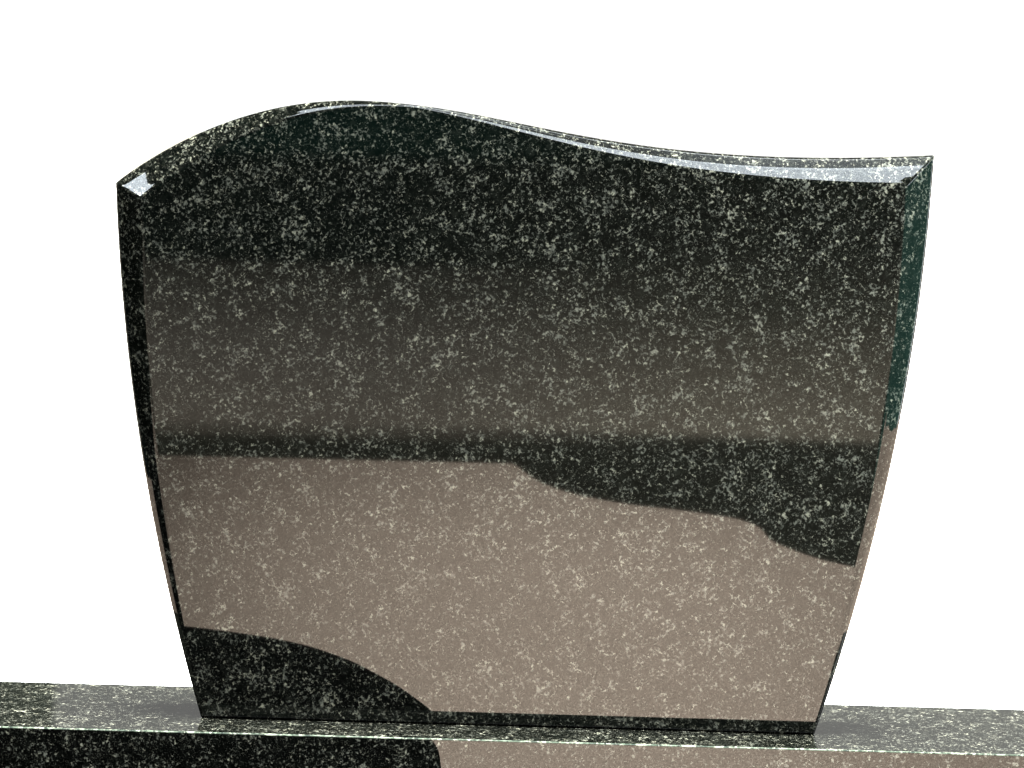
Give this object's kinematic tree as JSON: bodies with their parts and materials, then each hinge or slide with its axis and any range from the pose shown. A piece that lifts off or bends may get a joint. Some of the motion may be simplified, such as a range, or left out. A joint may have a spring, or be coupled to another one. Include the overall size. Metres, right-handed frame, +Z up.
{
  "type": "headstone",
  "caption": "Polished granite headstone with a wave-shaped top, tapering curved sides and a bevelled blank face, standing on a base slab.",
  "frame": {"origin": "on the ground, under the centre of the base slab's underside", "axes": "+X across the headstone to the right as seen from the front, +Y from the front to the back, +Z up; the blank face looks along -Y"},
  "size_m": [1.2, 0.25, 0.7133],
  "materials": {
    "headstone": "mirror-polished dark green-black granite with pale olive flecks",
    "base_slab": "mirror-polished dark green-black granite with pale olive flecks",
    "dowel_steel": "plain cut stainless rod"
  },
  "bodies": {
    "root": {"headstone": "headstone", "base_slab": "base_slab", "dowel_left": "dowel_steel", "dowel_right": "dowel_steel"}
  },
  "joints": []
}
